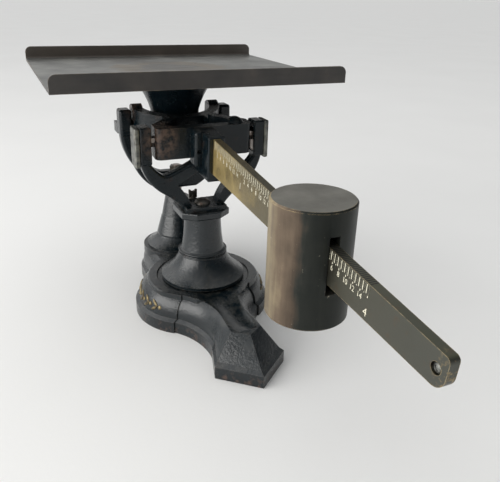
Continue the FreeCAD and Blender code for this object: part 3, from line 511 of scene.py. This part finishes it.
# The notches along the beam's top edge and the tip screw's slot are flat near-black bars: painted shade and grime
# standing in for the cut grooves.
grime_and_shade, tree, shader = new_finish("nick_grime_and_shade")
wire(tree, shader, Base_Color=colours(tree, grain(tree, 0.002, 4), (0.45, 0.004, 0.004, 0.004),
                                      (0.80, 0.030, 0.024, 0.014)))
shader.inputs["Roughness"].default_value = 0.6
bar_row("edge_nicks", (0, SCALE_START, top_at(SCALE_START)), (-face_x * 1.86, 0.85 * MM, PROUD * 2),
        OUNCE / 2, POUNDS * 32 + 1, grime_and_shade)
print("beam falls", round(math.degrees(math.atan(fall)), 2), "degrees toward its tip")

# %% [markdown]
# The numbers are text turned into mesh.  Each stands upright under its line, facing left, as the
# seller reads them.  Only plain figures are used.  The large pound figures sit low on the beam.

# %% Beam numbers
FACING_LEFT = Matrix(((0, 0, -1), (-1, 0, 0), (0, 1, 0))).to_4x4()


def figure(words, y, z, size):
    """Raised figures on the left face of the level beam, centred on a point."""
    bpy.ops.object.text_add()
    made = bpy.context.object
    made.data.body = words
    made.data.size = size
    made.data.extrude = PROUD
    made.data.resolution_u = 3
    made.data.align_x = "CENTER"
    bpy.ops.object.convert(target="MESH")
    made.matrix_world = Matrix.Translation((face_x, y, z)) @ FACING_LEFT
    bpy.ops.object.transform_apply(location=True, rotation=True, scale=True)
    return made


def joined(pieces):
    bpy.ops.object.select_all(action="DESELECT")
    for piece in pieces:
        piece.select_set(True)
    bpy.context.view_layer.objects.active = pieces[0]
    bpy.ops.object.join()
    return bpy.context.object


bpy.ops.object.select_all(action="DESELECT")
small = []
large = []
for pound in range(POUNDS):
    start = SCALE_START - pound * POUND
    for ounces in range(2, 16, 2):
        y = start - ounces * OUNCE
        small.append(figure(str(ounces), y, top_at(y) - 12.2 * MM, 4.8 * MM))
    y = start - POUND
    large.append(figure(str(pound + 1), y, top_at(y) - 19.2 * MM, 7.0 * MM))
joined(small)
settle("ounce_numbers", "lever", chalk, level_to_rest)
joined(large)
settle("pound_numbers", "lever", chalk, level_to_rest)
print("numbers:", len(small), "small and", len(large), "large")

# %% [markdown]
# Each side of the base carries a raised gilt band between the column and the shoulder.  It is a
# row of leaves and beads.  Every one is a flattened ball laid on the casting: a ray finds the
# surface, and the ball is turned so that its flat side meets the iron.  The gilding has rubbed off
# the high spots, where brown shows.

# %% Gilt band
BAND_LOW, BAND_HIGH = -26 * MM, 40 * MM
BAND_Z = 21 * MM
gilt, tree, shader = new_finish("old_gilt")
gold = colours(tree, grain(tree, 0.004, 5), (0.38, 0.050, 0.038, 0.026), (0.52, 0.190, 0.150, 0.078),
               (0.75, 0.360, 0.290, 0.150))
wire(tree, shader, Base_Color=gold, Roughness=span(tree, grain(tree, 0.002, 3), 0.3, 0.7, 0.32, 0.55))
shader.inputs["Metallic"].default_value = 0.8
casting = NODES["base_casting"]


def lay_ball(side, y, z, long, wide, high, lean=0.0):
    """A flattened ball on the side of the base; lean tips its long way up from level."""
    start = casting.matrix_world.inverted() @ Vector((side * 0.2, y, z))
    hit, spot, normal, _ = casting.ray_cast(start, Vector((-side, 0, 0)))
    if not hit:
        raise RuntimeError("the ray missed the base")
    level = Vector((0, 0, 1)).cross(normal).normalized()
    upright = normal.cross(level)
    lengthwise = level * math.cos(lean) + upright * math.sin(lean)
    turn = Matrix((lengthwise, normal.cross(lengthwise), normal)).transposed()
    bpy.ops.mesh.primitive_uv_sphere_add(segments=20, ring_count=10, radius=1.0, location=spot,
                                         rotation=turn.to_euler(), scale=(long, wide, high))
    bpy.ops.object.transform_apply(location=True, rotation=True, scale=True)
    bpy.ops.object.shade_smooth()
    return bpy.context.object


for side, word in ((-1, "left"), (1, "right")):
    pieces = []
    steps = 7
    for step in range(steps):
        y = BAND_LOW + (BAND_HIGH - BAND_LOW) * step / (steps - 1)
        pieces.append(lay_ball(side, y, BAND_Z, 2.0 * MM, 2.0 * MM, 1.0 * MM))
        if step == steps - 1:
            continue
        y += (BAND_HIGH - BAND_LOW) / (steps - 1) / 2
        for lean in (-38, 38):
            pieces.append(lay_ball(side, y, BAND_Z + math.copysign(2.5 * MM, lean), 4.4 * MM,
                                   1.5 * MM, 0.9 * MM, math.radians(lean * side)))
    bpy.ops.object.select_all(action="DESELECT")
    joined(pieces)
    settle("gilt_band_" + word, "base", gilt)
print("gilt pieces on each side:", len(pieces))

# %% [markdown]
# Small fittings that the CAD leaves out: the domed ends of the load knives where they come
# through the carrier's cheeks, still with old red paint on them, two beads turned on the
# column's neck, and the small slotted screw in the eye at the beam's tip.

# %% Small fittings
red, tree, shader = new_finish("old_red_paint")
wire(tree, shader, Base_Color=colours(tree, grain(tree, 0.0016, 5), (0.35, 0.020, 0.010, 0.010),
                                      (0.60, 0.085, 0.024, 0.020), (0.80, 0.160, 0.090, 0.060)))
shader.inputs["Roughness"].default_value = 0.45
cheek_low, cheek_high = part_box("carrier_fork")
PIVOT_Z = LOOP_END[2] - 1.5 * MM
for side, x in (("left", cheek_low[0]), ("right", cheek_high[0])):
    bpy.ops.object.select_all(action="DESELECT")
    bpy.ops.mesh.primitive_uv_sphere_add(segments=28, ring_count=14, radius=1.0,
                                         location=(x * 0.93, LOOP_END[1] - 4 * MM, PIVOT_Z),
                                         scale=(2.4 * MM, 4.6 * MM, 4.6 * MM))
    bpy.ops.object.shade_smooth()
    settle("knife_end_" + side, "carrier", red)

NECK_Z = 63 * MM
NECK_RADIUS = 22.2 * MM
for count, z in enumerate((NECK_Z, NECK_Z - 3.2 * MM)):
    bpy.ops.object.select_all(action="DESELECT")
    bpy.ops.mesh.primitive_torus_add(major_segments=72, minor_segments=12, major_radius=NECK_RADIUS,
                                     minor_radius=0.9 * MM, location=(0, 0, z))
    bpy.ops.object.shade_smooth()
    settle(f"neck_bead_{count}", "base", base_iron)

SCREW_SLOT_TURN = math.radians(50)
EYE_Y = tip_y + 7 * MM
screw_x = face_x + 2.1 * MM
bpy.ops.object.select_all(action="DESELECT")
bpy.ops.mesh.primitive_uv_sphere_add(segments=24, ring_count=12, radius=1.0, location=(screw_x, EYE_Y, 0),
                                     scale=(2.0 * MM, 3.0 * MM, 3.0 * MM))
bpy.ops.object.mode_set(mode="EDIT")
bpy.ops.mesh.select_all(action="SELECT")
bpy.ops.mesh.bisect(plane_co=(screw_x, EYE_Y, 0), plane_no=(1, 0, 0), clear_outer=True, use_fill=True)
bpy.ops.object.mode_set(mode="OBJECT")
settle("tip_screw", "lever", plate_steel, level_to_rest)
bpy.ops.object.select_all(action="DESELECT")
# The slot is a near-black bar on the screw head: painted shade and grime standing in for the groove.
bpy.ops.mesh.primitive_cube_add(size=1, location=(screw_x - 1.9 * MM, EYE_Y, 0),
                                rotation=(SCREW_SLOT_TURN, 0, 0), scale=(0.3 * MM, 3.2 * MM, 0.7 * MM))
bpy.ops.object.transform_apply(location=True, rotation=True, scale=True)
modify("BEVEL", width=0.08 * MM, segments=1)
settle("tip_screw_slot", "lever", grime_and_shade, level_to_rest)
print("fittings added")

# %% [markdown]
# The floor is a plain pale sheet, wide enough that no view sees its end.  A large plane would do,
# but a disc keeps the same distance to its edge all round, so every view fades the same way.

# %% Floor
FLOOR_RADIUS = 60.0
bpy.ops.object.select_all(action="DESELECT")
bpy.ops.mesh.primitive_circle_add(vertices=96, radius=FLOOR_RADIUS, fill_type="NGON")
floor = bpy.context.object
floor.name = "floor"
paper, tree, shader = new_finish("pale_paper")
wire(tree, shader, Base_Color=colours(tree, grain(tree, 0.25, 3), (0.2, 0.80, 0.80, 0.79),
                                      (0.8, 0.83, 0.83, 0.82)))
shader.inputs["Roughness"].default_value = 0.75
relief(tree, shader, (grain(tree, 0.004, 3), 0.00008))
floor.data.materials.append(paper)

# %% [markdown]
# The light is that of a pale room: a big window left of the beam, white walls behind the tray,
# and a dimmer room behind the camera.  The dim side matters as much as the lamps, because dark
# varnish and old brass show mostly what they reflect.  The poise's dark middle band and its tan
# window side are also painted into its colour, as painted shade and painted highlight.
# Close to the horizon the room is pale all round, so that the floor never ends in a dark stripe.

# %% Light
def lamp(name, at, toward, size, watts, colour=(1, 1, 1)):
    bpy.ops.object.light_add(type="AREA", location=at)
    made = bpy.context.object
    made.name = name
    made.data.shape = "RECTANGLE"
    made.data.size, made.data.size_y = size
    made.data.energy = watts
    made.data.color = colour
    made.rotation_euler = (Vector(toward) - Vector(at)).to_track_quat("-Z", "Y").to_euler()
    return made


lamp("window", (-1.6, -0.30, 0.48), (0, -0.05, 0.10), (2.0, 1.2), 30, (1.0, 0.985, 0.96))
lamp("ceiling", (0.1, 0.35, 1.9), (0, 0, 0.1), (2.6, 2.0), 2)

room = bpy.data.worlds.new("pale_room")
room.use_nodes = True
air = room.node_tree
facing = add(air, "TexCoord").outputs["Generated"]
BRIGHT_SIDE = (-0.42, 0.46, 0.78)
toward_light = add(air, "VectorMath", {0: facing, 1: BRIGHT_SIDE}, operation="DOT_PRODUCT")
glow = colours(air, span(air, toward_light.outputs["Value"], -0.6, 1.0),
               (0.0, 0.06, 0.06, 0.065), (0.36, 0.11, 0.12, 0.13),
               (0.53, 0.50, 0.51, 0.51), (0.80, 0.80, 0.80, 0.80), (1.0, 2.1, 2.1, 2.1))
height = add(air, "SeparateXYZ", {0: facing}).outputs["Z"]
skirting = span(air, height, 0.07, 0.16, 1.0, 0.0)
glow = paint_over(air, skirting, glow, rgb(0.76, 0.76, 0.75))
air.links.new(glow, air.nodes["Background"].inputs["Color"])
air.nodes["Background"].inputs["Strength"].default_value = 0.86
bpy.context.scene.world = room
bpy.context.scene.view_settings.view_transform = "Standard"
